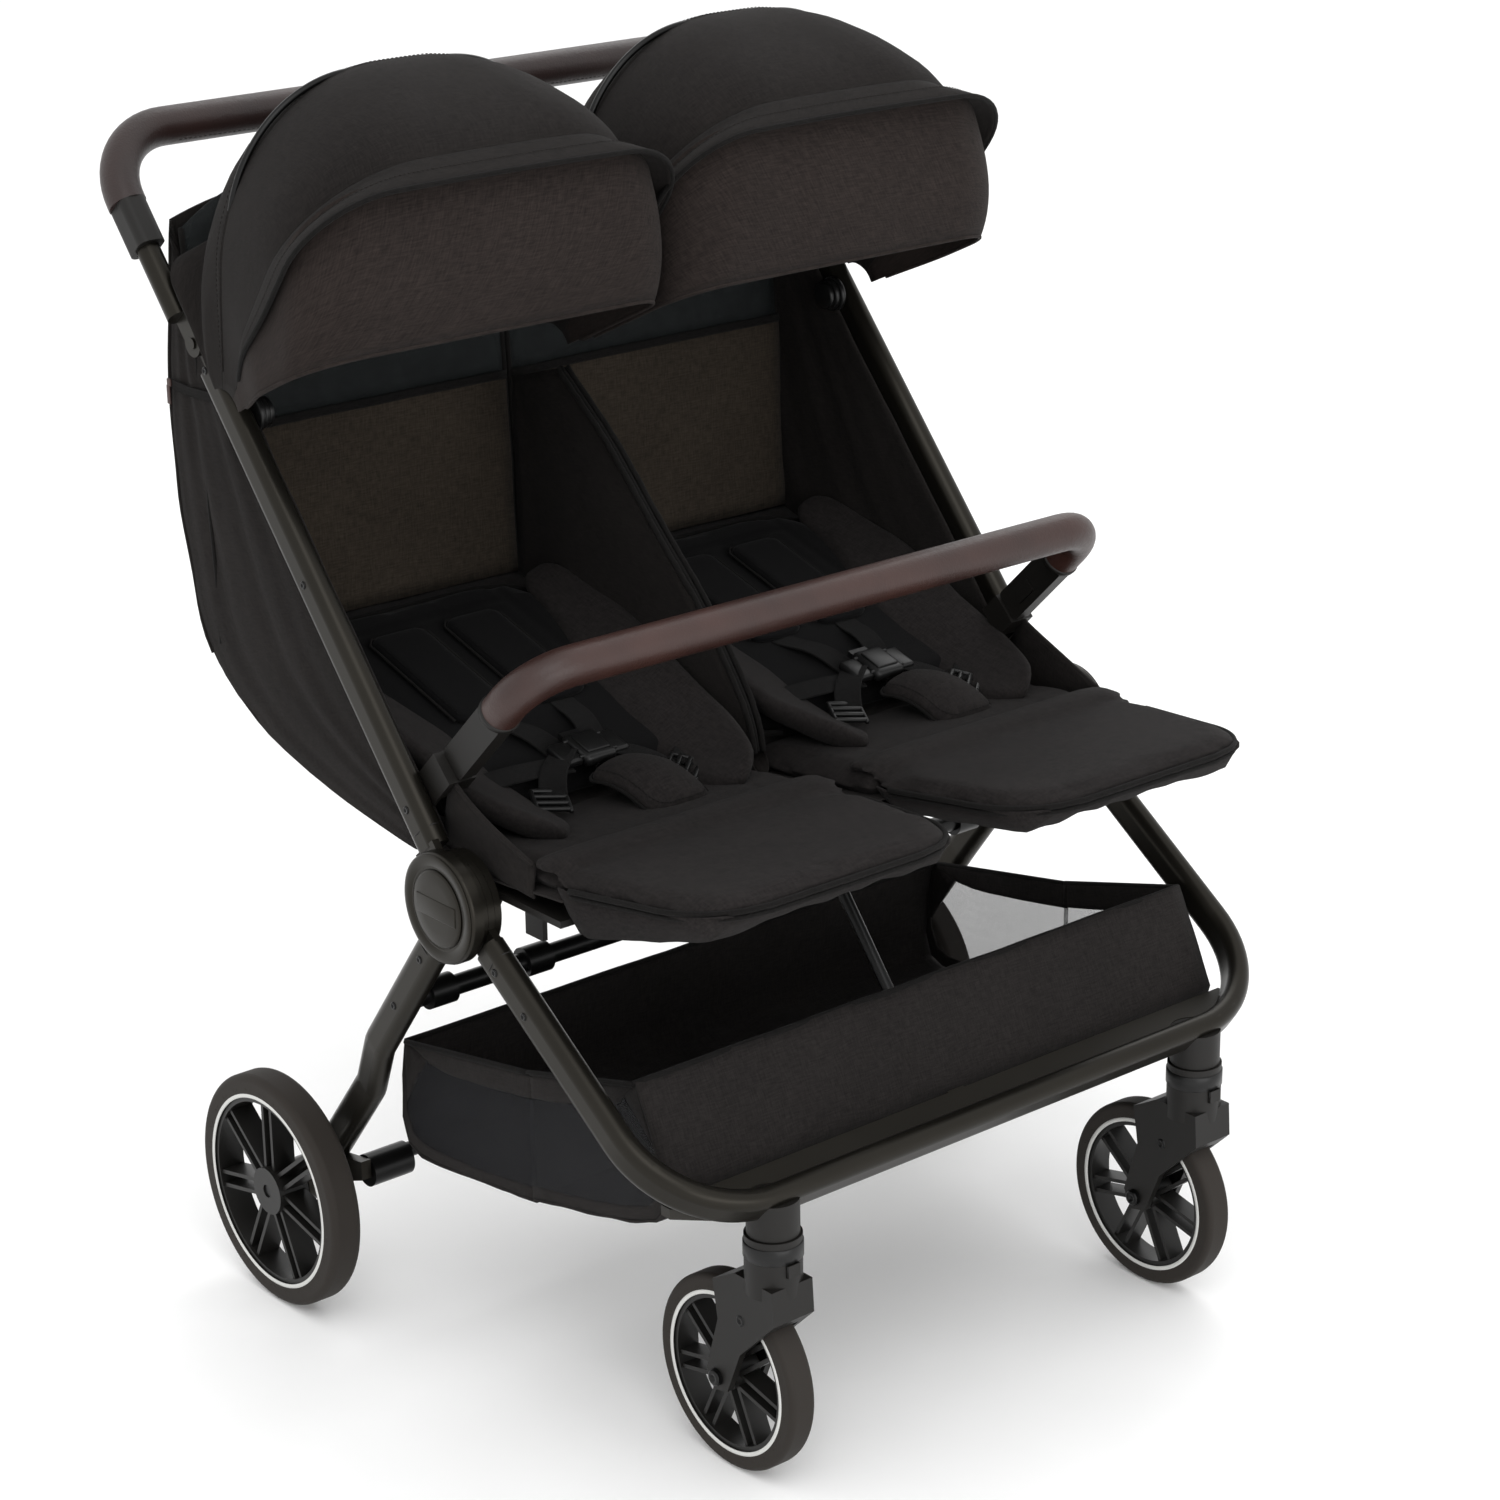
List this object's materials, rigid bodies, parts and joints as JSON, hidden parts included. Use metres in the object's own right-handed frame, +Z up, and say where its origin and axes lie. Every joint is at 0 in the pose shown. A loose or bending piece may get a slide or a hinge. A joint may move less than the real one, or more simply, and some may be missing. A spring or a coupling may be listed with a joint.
{
  "type": "twin stroller",
  "caption": "Side-by-side twin compact stroller with swivel front casters, folding frame and handle, reclining seats, tilting footrests, folding canopies and a bumper bar.",
  "frame": {"origin": "floor level, midway across the width and midway between the front of the front wheels and the back of the handle", "axes": "X across the stroller, -Y the front that the children face, +Z up"},
  "size_m": [0.77, 0.8151, 1.0973],
  "materials": {
    "frame": "satin dark olive-bronze powder coat",
    "dark_metal": "satin black",
    "plastic": "fine moulded texture",
    "gloss": "polished black",
    "tyre": "brown-black foam tyre",
    "rim": "satin black moulding",
    "leather": "dark brown grained leatherette",
    "bar_leather": "warm brown grained leatherette",
    "fabric_black": "near-black plain weave",
    "fabric_melange": "brown-black melange weave",
    "fabric_seat": "smooth black seat insert",
    "mesh": "open mesh"
  },
  "bodies": {
    "chassis": {"front_frame_tube": "frame", "footboard": "frame", "caster_sockets": "plastic", "hub_pins": "dark_metal", "centre_strut": "dark_metal", "basket_front": "fabric_black"},
    "rear_frame": {"rear_legs": "frame", "rear_cross_tube": "dark_metal", "brake_bar": "dark_metal", "rear_axles": "dark_metal", "basket_rear": "fabric_black"},
    "brake_pedal": {"brake_pedal": "plastic"},
    "seat_frame": {"seat_tubes": "frame", "hub_covers": "frame", "side_walls": "fabric_black", "seat_divider": "fabric_black", "rear_panel_left": "fabric_melange", "rear_panel_right": "fabric_melange", "bumper_receivers": "plastic", "canopy_rear_left": "fabric_black", "canopy_rear_right": "fabric_black"},
    "handle": {"handle_tube": "frame", "handle_grip": "leather", "handle_sleeves": "plastic"},
    "fold_button": {"fold_button": "plastic"},
    "bumper": {"bumper_bar": "bar_leather", "bumper_adapters": "plastic"},
    "seat_base": {"seat_board": "plastic", "seat_pads": "fabric_melange", "crotch_pads": "fabric_melange"},
    "rear_wheel_left": {"rear_tyre_left": "tyre", "rear_rim_left": "rim"},
    "front_wheel_left": {"front_tyre_left": "tyre", "front_rim_left": "rim"},
    "caster_left": {"caster_fork_left": "plastic", "caster_axle_left": "dark_metal"},
    "swivel_lock_left": {"swivel_lock_left": "plastic"},
    "bumper_button_left": {"bumper_button_left": "plastic"},
    "backrest_left": {"backrest_left": "fabric_seat", "harness_left": "fabric_seat"},
    "buckle_button_left": {"buckle_button_left": "gloss"},
    "footrest_left": {"footrest_left": "fabric_melange"},
    "canopy_mid_left": {"canopy_middle_left": "fabric_black", "canopy_bow_left": "dark_metal"},
    "canopy_front_left": {"canopy_visor_left": "fabric_melange"},
    "rear_wheel_right": {"rear_tyre_right": "tyre", "rear_rim_right": "rim"},
    "front_wheel_right": {"front_tyre_right": "tyre", "front_rim_right": "rim"},
    "caster_right": {"caster_fork_right": "plastic", "caster_axle_right": "dark_metal"},
    "swivel_lock_right": {"swivel_lock_right": "plastic"},
    "bumper_button_right": {"bumper_button_right": "plastic"},
    "backrest_right": {"backrest_right": "fabric_seat", "harness_right": "fabric_seat"},
    "buckle_button_right": {"buckle_button_right": "gloss"},
    "footrest_right": {"footrest_right": "fabric_melange"},
    "canopy_mid_right": {"canopy_middle_right": "fabric_black", "canopy_bow_right": "dark_metal"},
    "canopy_front_right": {"canopy_visor_right": "fabric_melange"}
  },
  "joints": [
    {"name": "frame_fold", "type": "hinge", "parent": "chassis", "child": "seat_frame", "pos_m": [0, -0.09, 0.456], "axis": [1, 0, 0], "range_deg": [0, 105], "deforming": ["basket_front", "basket_rear"]},
    {"name": "seat_fold", "type": "hinge", "parent": "chassis", "child": "seat_base", "pos_m": [0, -0.09, 0.456], "axis": [1, 0, 0], "range_deg": [0, 63.2]},
    {"name": "rear_fold", "type": "hinge", "parent": "chassis", "child": "rear_frame", "pos_m": [0, -0.09, 0.456], "axis": [1, 0, 0], "range_deg": [-45.2, 0]},
    {"name": "handle_fold", "type": "hinge", "parent": "seat_frame", "child": "handle", "pos_m": [0, 0.25674, 0.86342], "axis": [1, 0, 0], "range_deg": [-124.1, 0]},
    {"name": "fold_button_press", "type": "slide", "parent": "handle", "child": "fold_button", "axis": [0, 0, -1], "range_m": [0, 0.002], "stiffness_N_per_m": 150, "springref_m": -0.002},
    {"name": "bumper_pull", "type": "slide", "parent": "seat_frame", "child": "bumper", "axis": [0, -0.709, 0.7052], "range_m": [0, 0.05]},
    {"name": "brake_pedal_press", "type": "hinge", "parent": "rear_frame", "child": "brake_pedal", "pos_m": [0, 0.095, 0.142], "axis": [1, 0, 0], "range_deg": [-18, 0]},
    {"name": "rear_wheel_spin_left", "type": "hinge", "parent": "rear_frame", "child": "rear_wheel_left", "pos_m": [-0.37, 0.167, 0.108], "axis": [1, 0, 0], "continuous": true},
    {"name": "caster_swivel_left", "type": "hinge", "parent": "chassis", "child": "caster_left", "pos_m": [-0.2435, -0.369, 0.2], "axis": [0, 0, 1], "continuous": true},
    {"name": "front_wheel_spin_left", "type": "hinge", "parent": "caster_left", "child": "front_wheel_left", "pos_m": [-0.2435, -0.321, 0.0855], "axis": [1, 0, 0], "continuous": true},
    {"name": "swivel_lock_slide_left", "type": "slide", "parent": "caster_left", "child": "swivel_lock_left", "axis": [0, 0, 1], "range_m": [0, 0.005]},
    {"name": "bumper_release_left", "type": "slide", "parent": "bumper", "child": "bumper_button_left", "axis": [-1, 0, 0], "range_m": [0, 0.002], "stiffness_N_per_m": 150, "springref_m": -0.002},
    {"name": "recline_left", "type": "hinge", "parent": "seat_frame", "child": "backrest_left", "pos_m": [-0.165, -0.047, 0.4996], "axis": [1, 0, 0], "range_deg": [0, 35], "deforming": ["rear_panel_left"]},
    {"name": "buckle_press_left", "type": "slide", "parent": "backrest_left", "child": "buckle_button_left", "axis": [0, 0.2807, -0.9598], "range_m": [0, 0.003], "stiffness_N_per_m": 120, "springref_m": -0.002},
    {"name": "footrest_tilt_left", "type": "hinge", "parent": "seat_base", "child": "footrest_left", "pos_m": [-0.164, -0.21, 0.5], "axis": [1, 0, 0], "range_deg": [0, 35]},
    {"name": "canopy_mid_left", "type": "hinge", "parent": "seat_frame", "child": "canopy_mid_left", "pos_m": [-0.18125, 0.206, 0.808], "axis": [1, 0, 0], "range_deg": [-31, 0], "deforming": ["canopy_rear_left", "canopy_middle_left"]},
    {"name": "canopy_front_left", "type": "hinge", "parent": "canopy_mid_left", "child": "canopy_front_left", "pos_m": [-0.18125, 0.206, 0.808], "axis": [1, 0, 0], "range_deg": [-31, 0]},
    {"name": "rear_wheel_spin_right", "type": "hinge", "parent": "rear_frame", "child": "rear_wheel_right", "pos_m": [0.37, 0.167, 0.108], "axis": [1, 0, 0], "continuous": true},
    {"name": "caster_swivel_right", "type": "hinge", "parent": "chassis", "child": "caster_right", "pos_m": [0.2435, -0.369, 0.2], "axis": [0, 0, 1], "continuous": true},
    {"name": "front_wheel_spin_right", "type": "hinge", "parent": "caster_right", "child": "front_wheel_right", "pos_m": [0.2435, -0.321, 0.0855], "axis": [1, 0, 0], "continuous": true},
    {"name": "swivel_lock_slide_right", "type": "slide", "parent": "caster_right", "child": "swivel_lock_right", "axis": [0, 0, 1], "range_m": [0, 0.005]},
    {"name": "bumper_release_right", "type": "slide", "parent": "bumper", "child": "bumper_button_right", "axis": [1, 0, 0], "range_m": [0, 0.002], "stiffness_N_per_m": 150, "springref_m": -0.002},
    {"name": "recline_right", "type": "hinge", "parent": "seat_frame", "child": "backrest_right", "pos_m": [0.165, -0.047, 0.4996], "axis": [1, 0, 0], "range_deg": [0, 35], "deforming": ["rear_panel_right"]},
    {"name": "buckle_press_right", "type": "slide", "parent": "backrest_right", "child": "buckle_button_right", "axis": [0, 0.2807, -0.9598], "range_m": [0, 0.003], "stiffness_N_per_m": 120, "springref_m": -0.002},
    {"name": "footrest_tilt_right", "type": "hinge", "parent": "seat_base", "child": "footrest_right", "pos_m": [0.164, -0.21, 0.5], "axis": [1, 0, 0], "range_deg": [0, 35]},
    {"name": "canopy_mid_right", "type": "hinge", "parent": "seat_frame", "child": "canopy_mid_right", "pos_m": [0.18125, 0.206, 0.808], "axis": [1, 0, 0], "range_deg": [-31, 0], "deforming": ["canopy_rear_right", "canopy_middle_right"]},
    {"name": "canopy_front_right", "type": "hinge", "parent": "canopy_mid_right", "child": "canopy_front_right", "pos_m": [0.18125, 0.206, 0.808], "axis": [1, 0, 0], "range_deg": [-31, 0]}
  ],
  "couplings": [
    {"joint": "seat_fold", "follows": "frame_fold", "ratio": 0.6},
    {"joint": "rear_fold", "follows": "frame_fold", "ratio": -0.42857},
    {"joint": "handle_fold", "follows": "frame_fold", "ratio": -1.18},
    {"joint": "canopy_front_left", "follows": "canopy_mid_left", "ratio": 1},
    {"joint": "canopy_front_right", "follows": "canopy_mid_right", "ratio": 1}
  ]
}
